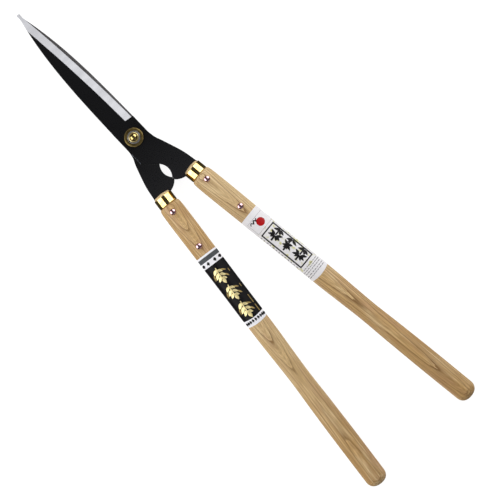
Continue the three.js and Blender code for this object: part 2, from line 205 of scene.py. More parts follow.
def arc(centre, radii, start, end, steps):
    """Points of an ellipse's arc between two angles in degrees, both ends included."""
    made = []
    for i in range(steps + 1):
        angle = math.radians(start + (end - start) * i / steps)
        made.append((centre[0] + radii[0] * math.cos(angle), centre[1] + radii[1] * math.sin(angle)))
    return made


def spline(knots, per_span):
    """A uniform Catmull-Rom curve through knots."""
    made = []
    for i in range(len(knots) - 1):
        p0, p1 = knots[max(i - 1, 0)], knots[i]
        p2, p3 = knots[i + 1], knots[min(i + 2, len(knots) - 1)]
        for step in range(per_span):
            t = step / per_span
            made.append(tuple(
                0.5 * (2 * b + (c - a) * t + (2 * a - 5 * b + 4 * c - d) * t * t
                       + (3 * b - a - 3 * c + d) * t ** 3)
                for a, b, c, d in zip(p0, p1, p2, p3)
            ))
    return made + [tuple(knots[-1])]


def spread(start, end, count):
    return [start + (end - start) * i / count for i in range(count + 1)]


GRIP = spline(GRIP_RADII, 16)


def grip_radius(station):
    for (s0, r0), (s1, r1) in zip(GRIP, GRIP[1:]):
        if s0 <= station <= s1:
            return r0 + (r1 - r0) * (station - s0) / (s1 - s0)
    return GRIP[-1][1]


# ---- Node graphs ----


class Graph:
    """A material's node tree, with a short call for each kind of node."""

    def __init__(self, name):
        self.material = bpy.data.materials.new(name)
        self.material.use_nodes = True
        self.tree = self.material.node_tree
        self.shader = self.tree.nodes["Principled BSDF"]
        self.place = self.node("ShaderNodeTexCoord").outputs["Object"]

    def node(self, kind, **settings):
        made = self.tree.nodes.new(kind)
        for key, value in settings.items():
            setattr(made, key, value)
        return made

    def feed(self, socket, value):
        """Links a socket or sets its value, which is three numbers for a colour."""
        if isinstance(value, bpy.types.NodeSocket):
            self.tree.links.new(value, socket)
        else:
            is_color = isinstance(value, tuple) and len(value) == 3
            socket.default_value = (*value, 1) if is_color else value

    def math(self, operation, a, b=0.0, c=0.0, clamp=False):
        made = self.node("ShaderNodeMath", operation=operation, use_clamp=clamp)
        for socket, value in zip(made.inputs, (a, b, c)):
            self.feed(socket, value)
        return made.outputs[0]

    def times(self, a, b):
        return self.math("MULTIPLY", a, b)

    def linear(self, value, factor, offset, clamp=False):
        """value * factor + offset"""
        return self.math("MULTIPLY_ADD", value, factor, offset, clamp)

    def scaled(self, scale, rotation=(0, 0, 0), location=(0, 0, 0)):
        """The object's own coordinates in millimetres, scaled, then turned and then moved."""
        made = self.node("ShaderNodeMapping", vector_type="POINT")
        self.feed(made.inputs["Vector"], self.place)
        made.inputs["Scale"].default_value = [s / MM for s in scale]
        made.inputs["Rotation"].default_value = rotation
        made.inputs["Location"].default_value = location
        return made.outputs[0]

    def noise(self, place, detail=2.0, roughness=0.5, scale=1.0, **turned):
        """Noise at a place, or over the object's own millimetres if place holds three frequencies."""
        if isinstance(place, tuple):
            place = self.scaled(place, **turned)
        made = self.node("ShaderNodeTexNoise")
        self.feed(made.inputs["Vector"], place)
        for key, value in (("Scale", scale), ("Detail", detail), ("Roughness", roughness)):
            made.inputs[key].default_value = value
        return made.outputs["Fac"]

    def ramp(self, factor, stops):
        """A ramp through (position, colour) stops, where a single number is a grey."""
        made = self.node("ShaderNodeValToRGB")
        self.feed(made.inputs["Fac"], factor)
        made.color_ramp.interpolation = "EASE"
        elements = made.color_ramp.elements
        while len(elements) < len(stops):
            elements.new(0.5)
        for element, (position, color) in zip(elements, stops):
            element.position = position
            grey = isinstance(color, (int, float))
            element.color = (color, color, color, 1) if grey else (*color, 1)
        return made.outputs["Color"]

    def rise(self, factor, start, end, top=1.0):
        return self.ramp(factor, [(start, 0.0), (end, top)])

    def curve(self, value, points):
        """A curve through (value, result) points. It stays level beyond its ends."""
        low, span = points[0][0], points[-1][0] - points[0][0]
        bottom = min(result for _, result in points)
        rise = max(result for _, result in points) - bottom
        made = self.node("ShaderNodeFloatCurve")
        self.feed(made.inputs["Value"], self.linear(value, 1 / span, -low / span))
        line = made.mapping.curves[0]
        for i, (at, result) in enumerate(points):
            spot = ((at - low) / span, (result - bottom) / rise)
            if i < 2:
                line.points[i].location = spot
            else:
                line.points.new(*spot)
        made.mapping.extend = "HORIZONTAL"
        made.mapping.update()
        return self.linear(made.outputs[0], rise, bottom)

    def mix(self, factor, a, b):
        made = self.node("ShaderNodeMix", data_type="RGBA")
        self.feed(made.inputs["Factor"], factor)
        self.feed(made.inputs[6], a)
        self.feed(made.inputs[7], b)
        return made.outputs[2]

    def split(self, vector):
        made = self.node("ShaderNodeSeparateXYZ")
        self.feed(made.inputs[0], vector)
        return made.outputs

    def join(self, x, y, z):
        made = self.node("ShaderNodeCombineXYZ")
        for socket, value in zip(made.inputs, (x, y, z)):
            self.feed(socket, value)
        return made.outputs[0]

    def bump(self, height, depth, strength=1.0):
        """Height runs from 0 to 1 and depth is in millimetres."""
        made = self.node("ShaderNodeBump")
        made.inputs["Strength"].default_value = strength
        made.inputs["Distance"].default_value = depth * MM
        self.feed(made.inputs["Height"], height)
        self.feed(self.shader.inputs["Normal"], made.outputs[0])
        return self.material

    def set(self, **values):
        for key, value in values.items():
            self.feed(self.shader.inputs[key.replace("_", " ")], value)


# ---- Materials ----

TIP_DARKENING = 0.002  # how much a ground face's tone falls in a millimetre along the blade

RING_DEPTH = 40  # how far behind a handle's axis the middle of the rings lies
RING_SPACING = 1.6
RING_SWAY = 1.0
RING_FRAY = 0.42
RING_TONES = [(0.0, 0.0), (0.40, 0.04), (0.70, 0.22), (0.86, 0.55), (0.94, 1.0), (0.98, 1.0), (1.0, 0.3)]
FINE_RING_TONES = [(0.0, 0.8), (0.35, 0.1), (1.0, 0.8)]
PALE_OAK = (0.960, 0.735, 0.415)
# The paled tone: bleaching along the grip, and painted light on the nose beside the ferrule.
BLEACHED_AND_LIT_OAK = (0.980, 0.810, 0.480)
WARM_OAK = (0.770, 0.505, 0.208)
ROSE_OAK = (0.650, 0.370, 0.225)
STREAK_OAK = (0.520, 0.295, 0.120)
FIBRE_OAK = (0.500, 0.305, 0.112)
RING_OAK = (0.200, 0.095, 0.028)
PORE_OAK = (0.180, 0.090, 0.035)

LABEL_RADIUS = 13.6
LABEL_HANG_START = 160  # the station where a label's bands start to hang down at the front
LABEL_HANG_LENGTH = 100
BLACK_LABEL_LINES = (160.9, 166.3, 173.4, 250.0)  # the stations where its bands change colour
WHITE_LABEL_WASHES = (184, 252)


def black_steel():
    """Forge-blacked steel: satin, a little browner and greyer towards the necks, with fine scale."""
    g = Graph("black_forged_steel")
    along = g.split(g.scaled((1, 1, 1)))[1]
    neck = g.linear(along, -1 / 60, -0.15, clamp=True)
    cloud = g.noise((0.05, 0.03, 0.05), detail=4)
    scale = g.noise((1.3, 1.3, 1.3), detail=5, roughness=0.65)
    on_blade = g.mix(cloud, (0.0030, 0.0031, 0.0037), (0.0050, 0.0050, 0.0058))
    on_neck = g.mix(cloud, (0.0092, 0.0093, 0.0104), (0.0135, 0.0135, 0.0150))
    color = g.mix(neck, on_blade, on_neck)
    speck = g.rise(scale, 0.62, 0.78)
    g.set(Base_Color=g.mix(g.times(speck, 0.2), color, (0.03, 0.026, 0.022)))
    g.set(Roughness=g.linear(scale, 0.12, 0.22))
    g.set(Metallic=0.0, Specular_IOR_Level=0.30)
    return g.bump(scale, 0.010, 0.4)


def worn_edge():
    """The blacking rubbed thin along an edge."""
    g = Graph("worn_edge")
    rub = g.noise((0.8, 0.12, 0.8), detail=3)
    g.set(Base_Color=g.ramp(rub, [(0.3, (0.09, 0.105, 0.13)), (0.7, (0.22, 0.25, 0.31))]))
    g.set(Roughness=g.linear(rub, 0.2, 0.3), Metallic=1.0)
    return g.bump(rub, 0.01, 0.4)


def ground_steel(name, dark, light, roughness, lines):
    """Ground steel with fine lines across the blade and slow ripples left by the stone. Its tone falls a
    little towards the tip."""
    g = Graph(name)
    _, along, _ = g.split(g.scaled((1, 1, 1)))
    fine = g.noise(lines, detail=3, roughness=0.7)
    ripple = g.noise((0.02, 0.085, 0.02), detail=2)
    tone = g.linear(g.math("SUBTRACT", fine, 0.5), 0.45, ripple, clamp=True)
    tone = g.linear(along, -TIP_DARKENING, tone, clamp=True)
    g.set(Base_Color=g.ramp(tone, [(0.0, dark), (0.75, light)]))
    g.set(Roughness=g.linear(fine, 0.16, roughness))
    g.set(Metallic=1.0)
    return g.bump(g.linear(ripple, 3.0, fine), 0.012, 0.35)


def brass(name, dull, bright, roughness, around=None, uneven=0.12):
    """Brass with polishing lines, faint clouds of tarnish and a few fine scratches."""
    g = Graph(name)
    cloud = g.noise((0.16, 0.16, 0.16), detail=4, roughness=0.6)
    lines = g.noise(around or (0.6, 0.6, 6.0), detail=2)
    scratch = g.noise((5.0, 0.4, 0.4), rotation=(0.3, 0.5, 0.7), detail=1)
    mark = g.rise(scratch, 0.68, 0.72)
    tone = g.ramp(cloud, [(0.35, dull), (0.65, bright)])
    g.set(Base_Color=g.mix(g.times(mark, 0.3), tone, dull))
    wear = g.linear(cloud, uneven, roughness)
    g.set(Roughness=g.linear(lines, uneven / 2, wear), Metallic=1.0)
    g.set(Specular_Tint=(0.95, 0.72, 0.34))
    return g.bump(lines, 0.006, 0.4)


def bright_steel():
    g = Graph("bright_steel")
    cloud = g.noise((0.5, 0.5, 0.5), detail=4)
    fine = g.noise((2.0, 2.0, 9.0), detail=2)
    g.set(Base_Color=g.ramp(cloud, [(0.3, (0.50, 0.50, 0.53)), (0.7, (0.78, 0.77, 0.82))]))
    g.set(Roughness=g.linear(cloud, 0.15, 0.22), Metallic=1.0)
    return g.bump(fine, 0.01, 0.4)


def nickel():
    g = Graph("nickel_plate")
    cloud = g.noise((0.6, 0.6, 0.6), detail=3)
    g.set(Base_Color=g.ramp(cloud, [(0.3, (0.78, 0.42, 0.48)), (0.7, (0.95, 0.64, 0.70))]))
    g.set(Roughness=g.linear(cloud, 0.10, 0.15), Metallic=1.0)
    return g.bump(g.noise((1.5, 1.5, 1.5), detail=2), 0.01, 0.3)


def oak_rings(g, side, rings, centres, shift):
    """Which ring a point of the wood lies in. The whole part counts the rings and the fraction runs
    across one. The rings stand round a line behind the handle, so that the turned front cuts them into
    long arches. rings and centres are those of oak()."""
    x, y, z = g.split(g.scaled((1, 1, 1)))
    station = g.times(y, -1)
    middle = [(at, side * across) for at, across in spline(centres, 4)]
    x = g.math("SUBTRACT", x, g.curve(station, middle))
    z = g.math("ADD", z, RING_DEPTH)
    reach = g.math("SQRT", g.math("ADD", g.times(x, x), g.times(z, z)))
    sway = g.noise((0.055, 0.016, 0.055), location=shift, detail=2)
    reach = g.linear(sway, RING_SWAY, reach)
    fray = g.noise((0.8, 0.045, 0.8), location=shift, detail=3, roughness=0.65)
    reach = g.linear(fray, RING_FRAY, reach)
    uneven = (RING_SWAY + RING_FRAY) / 2
    fronts = []
    for at, ring in spline(rings, 5):
        fronts.append((at, ring - (grip_radius(at) + RING_DEPTH + uneven) / RING_SPACING))
    return g.linear(reach, 1 / RING_SPACING, g.curve(station, fronts))


def oak_ground(g, fibre, bleach_and_light, shift):
    """The wood between its rings: slow changes of tone, streaks, fibres, bleaching and painted light."""
    station = g.times(g.split(g.scaled((1, 1, 1)))[1], -1)
    patch = g.noise((0.07, 0.014, 0.07), location=shift, detail=3)
    blush = g.noise((0.09, 0.02, 0.09), location=shift[::-1], detail=2)
    streak = g.noise((0.55, 0.009, 0.55), location=shift, detail=3, roughness=0.7)
    base = g.mix(g.rise(patch, 0.38, 0.62), PALE_OAK, WARM_OAK)
    base = g.mix(g.rise(blush, 0.52, 0.66, 0.55), base, ROSE_OAK)
    base = g.mix(g.rise(streak, 0.43, 0.58, 0.80), base, STREAK_OAK)
    base = g.mix(g.rise(fibre, 0.42, 0.60, 0.72), base, FIBRE_OAK)
    # Paling: real bleaching along the grip, and painted light that lifts the shade on the nose.
    return g.mix(g.curve(station, bleach_and_light), base, BLEACHED_AND_LIT_OAK)


def oak(name, side, rings, centres, bleach_and_light, shift):
    """Pale oak as a solid. rings says which ring shows at the handle's front along it, as (station,
    ring). centres says where the middle of the arches lies, as (station, across) with across positive
    towards the outer side. The list after centres says how far the wood is paled, as (station, how
    far): bleaching along the grip, and up to station 86 painted light that lifts the shade on the nose."""
    g = Graph(name)
    turn = oak_rings(g, side, rings, centres, shift)
    line = g.ramp(g.math("FRACT", turn), RING_TONES)
    year = g.noise(g.join(g.math("FLOOR", turn), shift[0], 0.0), scale=0.73, detail=0)
    strength = g.ramp(year, [(0.36, 0.70), (0.58, 1.0)])
    fine = g.ramp(g.math("FRACT", g.linear(turn, 5.0, 0.4)), FINE_RING_TONES)
    fibre = g.noise((1.2, 0.022, 1.2), location=shift, detail=4, roughness=0.7)
    pore = g.noise((1.9, 0.07, 1.9), location=shift, detail=2)
    open_pore = g.rise(pore, 0.56, 0.66)
    pores = g.times(open_pore, g.linear(line, 0.8, 0.3))
    base = oak_ground(g, fibre, bleach_and_light, shift)
    base = g.mix(g.times(fine, 0.36), base, RING_OAK)
    base = g.mix(g.times(g.times(line, strength), 0.80), base, RING_OAK)
    base = g.mix(g.times(pores, 0.5), base, PORE_OAK)
    g.set(Base_Color=base, Specular_IOR_Level=0.3)
    g.set(Roughness=g.linear(fibre, 0.18, 0.45))
    relief = g.math("SUBTRACT", g.times(fibre, 0.5), g.times(pores, 0.8))
    return g.bump(relief, 0.05, 0.6)


def banded(g, lines, colors):
    """Colours in bands along a label, which change at the stations in lines. The bands hang down at
    the front as its lower edge does."""
    x, y, _ = g.split(g.scaled((1, 1, 1)))
    front = g.linear(g.times(x, x), -1 / LABEL_RADIUS ** 2, 1.0, clamp=True)
    down = g.linear(y, -1 / LABEL_HANG_LENGTH, -LABEL_HANG_START / LABEL_HANG_LENGTH, clamp=True)
    station = g.times(y, -1)
    along = g.linear(g.times(front, down), -LABEL_BULGE, station)
    color = colors[0]
    for line, after in zip(lines, colors[1:]):
        color = g.mix(g.math("GREATER_THAN", along, line), color, after)
    return color


def black_label():
    """A glossy wrap: white, grey and white bands, the black field and a white end band."""
    g = Graph("black_label")
    white, grey, black = (0.94, 0.93, 0.97), (0.082, 0.088, 0.095), (0.0060, 0.0055, 0.0062)
    color = banded(g, BLACK_LABEL_LINES, [white, grey, white, black, white])
    smudge = g.noise((0.12, 0.05, 0.12), detail=4)
    g.set(Base_Color=g.mix(g.times(smudge, 0.06), color, (0.10, 0.095, 0.10)))
    g.set(Roughness=g.linear(smudge, 0.20, 0.25), Specular_IOR_Level=0.09)
    return g.bump(g.noise((0.25, 0.12, 0.25), detail=3), 0.05, 0.5)


def white_label():
    """Coated paper, silvery, with straw-coloured washes round the frame."""
    g = Graph("white_label")
    fibre = g.noise((1.2, 0.7, 1.2), detail=4, roughness=0.7)
    wash = g.noise((0.22, 0.16, 0.22), detail=3)
    off, on = (0.0, 0.0, 0.0), (1.0, 1.0, 1.0)
    field = banded(g, WHITE_LABEL_WASHES, [off, on, off])
    wash = g.times(g.rise(wash, 0.53, 0.64), field)
    paper = g.mix(fibre, (0.78, 0.765, 0.78), (0.92, 0.90, 0.92))
    g.set(Base_Color=g.mix(g.times(wash, 0.85), paper, (0.62, 0.60, 0.24)))
    g.set(Roughness=g.linear(fibre, 0.2, 0.35), Specular_IOR_Level=0.3)
    return g.bump(fibre, 0.02, 0.4)


def ink(name, color, shade, roughness, metallic=0.0):
    """Printed ink or foil with uneven cover."""
    g = Graph(name)
    cover = g.noise((0.9, 0.9, 0.9), detail=4, roughness=0.7)
    g.set(Base_Color=g.ramp(cover, [(0.3, shade), (0.6, color)]), Metallic=metallic)
    g.set(Roughness=g.linear(cover, 0.2, roughness), Specular_IOR_Level=0.15)
    return g.bump(cover, 0.01, 0.4)


MATERIALS = {
    "black": black_steel(),
    "worn": worn_edge(),
    "bevel": ground_steel(
        "ground_bevel", (0.218, 0.219, 0.231), (0.300, 0.301, 0.315), 0.24, (0.12, 4.0, 0.12)
    ),
    "inner": ground_steel(
        "ground_inner", (0.26, 0.245, 0.248), (0.39, 0.375, 0.378), 0.24, (0.3, 3.0, 0.3)
    ),
    "brass": brass(
        "polished_brass", (0.82, 0.56, 0.18), (0.94, 0.72, 0.32), 0.02, (0.5, 5.0, 0.5), 0.05
    ),
    "bolt": brass("bolt_brass", (0.50, 0.36, 0.12), (0.68, 0.52, 0.20), 0.08),
    "nut": brass("nut_brass", (0.70, 0.58, 0.26), (0.86, 0.74, 0.38), 0.30),
    # The cup's dish: the same brass darkened, as painted shade in the dish.
    "cup_dish_shade": brass("aged_brass", (0.080, 0.060, 0.022), (0.145, 0.108, 0.040), 0.42),
    "rim": brass("rim_brass", (0.22, 0.16, 0.060), (0.38, 0.29, 0.12), 0.34),
    "steel": bright_steel(),
    "nickel": nickel(),
    "black_label": black_label(),
    "white_label": white_label(),
    # The gold foil and the next are one foil: the next is its darker copy, painted shade where the foil
    # catches less light.
    "gold_foil": ink("gold_foil", (0.98, 0.86, 0.46), (0.78, 0.60, 0.24), 0.32, 0.6),
    "shaded_foil": ink("gold_foil_in_painted_shade", (0.40, 0.29, 0.11), (0.24, 0.17, 0.06), 0.35, 0.6),
    "black_ink": ink("black_ink", (0.009, 0.008, 0.009), (0.02, 0.02, 0.02), 0.35),
    "grey_ink": ink("grey_ink", (0.13, 0.125, 0.13), (0.24, 0.235, 0.24), 0.45),
    "red_ink": ink("red_ink", (0.47, 0.006, 0.008), (0.40, 0.005, 0.007), 0.38),
    "left_oak": oak(
        "pale_oak_left", -1,
        [(60, 2.1), (97, 1), (124, 0), (152, -1), (250, -4.1), (283, -5), (324, -6), (355, -6.35),
         (395, -6.3), (427, -6), (465, -5.65), (505, -5.35)],
        [(60, 0.5), (124, 0), (283, -2), (427, -2.4), (465, -0.6), (505, 1.2)],
        # Up to station 86 this is painted light on the nose, lifting the shade beside the ferrule; further
        # back, bleaching.
        [(60, 0.70), (75, 0.60), (86, 0.08), (150, 0.04), (250, 0.22), (330, 0.28), (400, 0.04), (505, 0)],
        (3.0, 4.0, 6.0),
    ),
    "right_oak": oak(
        "pale_oak_right", 1,
        [(60, 1.9), (95, 1.05), (148, 0), (200, -1.1), (250, -2), (311, -3), (370, -3.5), (440, -4),
         (480, -4.6), (505, -5.1)],
        [(60, 1.2), (148, 0.6), (311, -1.8), (370, -0.5), (440, 2), (505, 1)],
        # Up to station 86 this is painted light on the nose, lifting the shade beside the ferrule; further
        # back, bleaching.
        [(60, 0.60), (75, 0.50), (86, 0.36), (150, 0.32), (250, 0.14), (330, 0.06), (400, 0.02), (505, 0)],
        (31.0, 9.0, 11.0),
    ),
}

# ---- Mesh making ----


def place_of(side):
    """From a handle's own frame, with its axis down -Y and its front +Z, to the shears' frame."""
    root = Matrix.Translation(Vector((side * HANDLE_ROOT_X, 0, MEET_Z)) * MM)
    return root @ Matrix.Rotation(side * HANDLE_ANGLE, 4, "Z")


def linked(name, data, place=Matrix()):
    made = bpy.data.objects.new(name, data)
    bpy.context.scene.collection.objects.link(made)
    made.matrix_world = place
    return made


def new_object(name, bm, place=Matrix()):
    """A mesh object from a bmesh in millimetres."""
    bmesh.ops.scale(bm, vec=[MM] * 3, verts=bm.verts)
    bmesh.ops.recalc_face_normals(bm, faces=bm.faces)
    mesh = bpy.data.meshes.new(name)
    bm.to_mesh(mesh)
    bm.free()
    return linked(name, mesh, place)


@contextlib.contextmanager
def opened(obj):
    """An object's mesh as a bmesh in metres, which is written back at the end."""
    bm = bmesh.new()
    bm.from_mesh(obj.data)
    yield bm
    bm.to_mesh(obj.data)
    bm.free()


def smooth(obj, angle):
    obj.data.polygons.foreach_set("use_smooth", [True] * len(obj.data.polygons))
    obj.data.set_sharp_from_angle(angle=math.radians(angle))


def skin(bm, rings):
    """Faces between each ring of points and the next, where a ring may be a single point."""
    count = max(len(points) for points in rings)
    for one, other in zip(rings, rings[1:]):
        for i in range(count):
            j = (i + 1) % count
            corners = [one[i % len(one)], one[j % len(one)], other[j % len(other)], other[i % len(other)]]
            unique = list(dict.fromkeys(corners))
            if len(unique) > 2:
                bm.faces.new(unique)


def solid(sections):
    """A closed solid through equal rings of points."""
    bm = bmesh.new()
    rings = [[bm.verts.new(point) for point in section] for section in sections]
    bm.faces.new(rings[0][::-1])
    bm.faces.new(rings[-1])
    skin(bm, rings)
    return bm


def prism(outline, low, high):
    """A flat outline of (x, y) points given depth along Z."""
    return solid([[(x, y, z) for x, y in outline] for z in (low, high)])


def ring(bore, outer):
    """A closed profile with a plain bore, from the (radius, height) points of its outside, upwards."""
    low, high = outer[0][1], outer[-1][1]
    return [(bore, low), *outer, (bore, high), (bore, low)]


def lathe(profile, segments=96, along="Z"):
    """A closed profile of (radius, height) turned about Z, or about a handle's axis with the height
    as its station. A profile that isn't a ring starts and ends on the axis."""
    bm = bmesh.new()
    is_ring = profile[0] == profile[-1]
    rings = []
    for radius, height in profile[:-1] if is_ring else profile:
        points = []
        for i in range(segments if radius > 1e-6 else 1):
            angle = 2 * math.pi * i / segments
            a, b = radius * math.sin(angle), radius * math.cos(angle)
            points.append(bm.verts.new((a, b, height) if along == "Z" else (a, -height, b)))
        rings.append(points)
    skin(bm, rings + rings[:1] if is_ring else rings)
    return bm


def box(width, length, height, x=0.0, y=0.0, z=0.0):
    corners = [(-1, -1), (1, -1), (1, 1), (-1, 1)]
    outline = [(sx * width / 2 + x, sy * length / 2 + y) for sx, sy in corners]
    return prism(outline, z - height / 2, z + height / 2)


def settle(obj):
    """Replaces an object's mesh with the mesh that its modifiers make."""
    graph = bpy.context.evaluated_depsgraph_get()
    made = bpy.data.meshes.new_from_object(obj.evaluated_get(graph))
    obj.modifiers.clear()
    old = obj.data
    obj.data = made
    bpy.data.meshes.remove(old)


def carve(obj, tool, operation="DIFFERENCE"):
    """Cuts, joins or intersects an object with a bmesh in the object's own frame."""
    cutter = new_object("cutter", tool, obj.matrix_world.copy())
    bpy.context.view_layer.update()
    modifier = obj.modifiers.new("carve", "BOOLEAN")
    modifier.solver = "EXACT"
    modifier.operation = operation
    modifier.object = cutter
    settle(obj)
    bpy.data.objects.remove(cutter)


def close_seams(obj):
    """Joins the points that cutting has left a hair apart and fills what still stands open."""
    with opened(obj) as bm:
        bmesh.ops.remove_doubles(bm, verts=bm.verts, dist=SEAM * MM)
        bmesh.ops.dissolve_degenerate(bm, dist=WELD * MM, edges=bm.edges)
        bmesh.ops.holes_fill(bm, edges=[edge for edge in bm.edges if edge.is_boundary], sides=0)


def taken_back(obj):
    """An object's mesh as a bmesh in millimetres. The object itself goes."""
    bm = bmesh.new()
    bm.from_mesh(obj.data)
    bmesh.ops.scale(bm, vec=[1 / MM] * 3, verts=bm.verts)
    bpy.data.objects.remove(obj)
    return bm


def moved(bm, matrix):
    bmesh.ops.transform(bm, matrix=matrix, verts=bm.verts)
    return bm


def pin(radius, low, high, segments, x=0.0, y=0.0):
    made = lathe([(0, low), (radius, low), (radius, high), (0, high)], segments)
    return moved(made, Matrix.Translation((x, y, 0)))


def finish_piece(obj, body, looks, node=None, angle=40):
    """Shades a piece, gives it its materials and body, and hides the CAD node that it stands for."""
    smooth(obj, angle)
    obj.data.materials.clear()
    for look in looks:
        obj.data.materials.append(MATERIALS[look])
    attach(obj, body)
    if node:
        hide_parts(node)


# ---- Forged halves ----

BLACK, BEVEL, INNER, WORN = range(4)  # the order of a forging's materials


def spine_at(y):
    """A blade's half width on its spine's side."""
    y = max(y, 0)
    sweep = SPINE_SWEEP * (y / SPINE_SWEEP_AT) ** SPINE_SWEEP_POWER
    return max(BLADE_HALF_WIDTH - SPINE_TAPER * y - sweep, TIP_HALF_WIDTH)


def edge_at(y):
    """A blade's half width on its edge's side."""
    return max(EDGE_HALF_WIDTH - EDGE_TAPER * y - EDGE_SWEEP * y * y, EDGE_TIP_HALF_WIDTH)


def blade_outline(offset):
    """A blade in plan. Its left side runs into the neck's step, which the blade's offset doesn't move."""
    heel_drop = HEEL_SLANT * (BLADE_HALF_WIDTH - edge_at(HEEL))
    inside_step = 0.6
    spine = [(-spine_at(y), y) for y in spread(2, BLADE_TIP - 3.5, 64)]
    edge = [(edge_at(y), y) for y in spread(BLADE_TIP, HEEL, 56)]
    return [
        (inside_step - STEP_X - offset, BLADE_BASE),
        *spine,
        (-TIP_HALF_WIDTH, BLADE_TIP),
        *edge,
        (BLADE_HALF_WIDTH, HEEL - heel_drop),
        (BLADE_HALF_WIDTH, BLADE_BASE),
    ]


def bevel_tool():
    """The wedge of steel that grinding takes off above the bevel, down to the slanted heel line."""
    rise = (PLATE - EDGE_LAND) / BEVEL_WIDTH
    inset, outset = BEVEL_WIDTH * 1.3, 2.0
    wedge = [(outset, -outset * rise), (-inset, inset * rise), (outset, inset * rise)]
    low = GAP / 2 + EDGE_LAND
    sections = []
    for y in spread(HEEL - 10, BLADE_TIP + 5, 96):
        slope = edge_at(y + 0.5) - edge_at(y - 0.5)
        length = math.hypot(1, slope)
        across = (1 / length, -slope / length)
        x = edge_at(y)
        sections.append([(x + across[0] * r, y + across[1] * r, low + up) for r, up in wedge])
    waste = new_object("waste", solid(sections))
    reach, top = 2 * BLADE_HALF_WIDTH, BLADE_TIP + 10
    heel_line = [(x, HEEL + HEEL_SLANT * (edge_at(HEEL) - x)) for x in (-reach, reach)]
    carve(waste, prism([*heel_line, (reach, top), (-reach, top)], -PLATE, 3 * PLATE), "INTERSECT")
    return taken_back(waste)


def neck_outline(offset):
    half_eye = (EYE_TOP - EYE_BOTTOM) / 2
    radius = (half_eye ** 2 + EYE_DEPTH ** 2) / (2 * EYE_DEPTH)
    angle = math.degrees(math.asin(half_eye / radius))
    centre = (GAP / 2 + EYE_DEPTH - radius, EYE_BOTTOM + half_eye)
    eye = arc(centre, (radius, radius), angle, -angle, 24)
    contact = (STOP_GAP / 2, EYE_BOTTOM - STOP_GAP)
    lobe = []
    for t in spread(0, 1, 20):
        lobe.append(tuple(
            (1 - t) ** 2 * a + 2 * t * (1 - t) * b + t * t * c
            for a, b, c in zip((STOP_GAP / 2, STOP_BOTTOM), LOBE_CONTROL, LOBE_END)
        ))
    side = BLADE_HALF_WIDTH + offset
    outer = spline([*NECK_SIDE, (18 + offset, -16), (side - 0.35, -4)], 8)
    return [(-STEP_X, 0), (-STEP_X, STEP_FOOT), *eye, contact, *lobe, *outer, (side - 3, 0)]


def neck_tool(offset):
    """A neck, with a step behind its face that leaves the other half's plate free."""
    run = math.hypot(STEP_X, CROTCH - STEP_FOOT)
    foot_drop = GAP * (run - (STEP_FOOT - CROTCH)) / STEP_X
    free = [
        (-BEYOND_NECK, -BLADE_BASE), (BEYOND_NECK, -BLADE_BASE),
        (BEYOND_NECK, STEP_HEAD), (STEP_X + GAP, STEP_HEAD),
        (STEP_X + GAP, STEP_FOOT - foot_drop), (GAP / 2, EYE_TOP), (-BEYOND_NECK, EYE_TOP),
    ]
    neck = new_object("neck", prism(neck_outline(offset), -HALF_THICKNESS, HALF_THICKNESS))
    carve(neck, prism(free, -HALF_THICKNESS - 1, GAP / 2))
    return taken_back(neck)


def nose_profile(clearance, steps):
    """The domed front end of a handle, grown by a clearance."""
    face = []
    for u in spread(0, 1, 6)[:-1]:
        face.append((u * NOSE_FACE_RADIUS, NOSE_START + NOSE_DOME * u * u - clearance))
    corner = arc(
        (NOSE_FACE_RADIUS, NOSE_START + NOSE_DOME + NOSE_ROUND),
        (SPIGOT_RADIUS - NOSE_FACE_RADIUS + clearance, NOSE_ROUND + clearance),
        -90, 0, steps,
    )
    return face + corner


def handle_room():
    """What a neck leaves free for the handle's nose and the ferrule behind it."""
    mouth, reach = FERRULE_START - NOSE_CLEARANCE, FERRULE_RADIUS + GAP
    end = [(reach, mouth), (reach, FERRULE_END), (0, FERRULE_END)]
    return lathe([*nose_profile(NOSE_CLEARANCE, 10), *end], along="handle")


def add_tang(obj, handle_place):
    half, tip = TANG_WIDTH / 2, TANG_TIP_WIDTH / 2
    outline = [
        (-half, -TANG_START), (-half, TANG_TAPER - TANG_END), (-tip, -TANG_END),
        (tip, -TANG_END), (half, TANG_TAPER - TANG_END), (half, -TANG_START),
    ]
    tang = prism(outline, -TANG_THICKNESS / 2, TANG_THICKNESS / 2)
    carve(obj, moved(tang, handle_place), "UNION")
    for station in RIVET_STATIONS:
        hole = pin(RIVET_RADIUS + GAP, -BEYOND_HANDLE, BEYOND_HANDLE, 32, RIVET_OFFSET, -station)
        carve(obj, moved(hole, handle_place))


def soften(obj, keep_sharp):
    """Rounds an object's corners, but not edges with an end where keep_sharp(x, y, z) holds, in
    millimetres. The mesh is first cut across at SOFT_END, so that an edge can be round on one side."""
    with opened(obj) as bm:
        bmesh.ops.remove_doubles(bm, verts=bm.verts, dist=WELD * MM)
        bmesh.ops.dissolve_degenerate(bm, dist=WELD * MM, edges=bm.edges)
        bmesh.ops.dissolve_limit(bm, angle_limit=FLAT_ANGLE, verts=bm.verts, edges=bm.edges)
        loose = [edge for edge in bm.edges if edge.is_wire]
        bmesh.ops.delete(bm, geom=loose, context="EDGES")
        everything = [*bm.verts, *bm.edges, *bm.faces]
        bmesh.ops.bisect_plane(bm, geom=everything, plane_co=(0, SOFT_END * MM, 0), plane_no=(0, 1, 0))
        chosen = []
        for edge in bm.edges:
            is_corner = len(edge.link_faces) == 2 and edge.calc_face_angle(0) >= CORNER_ANGLE
            if is_corner and not any(keep_sharp(*(vert.co / MM)) for vert in edge.verts):
                chosen.append(edge)
        bmesh.ops.bevel(
            bm, geom=chosen, offset=SOFT_EDGE * MM, segments=3, profile=0.5,
            affect="EDGES", clamp_overlap=False,
        )


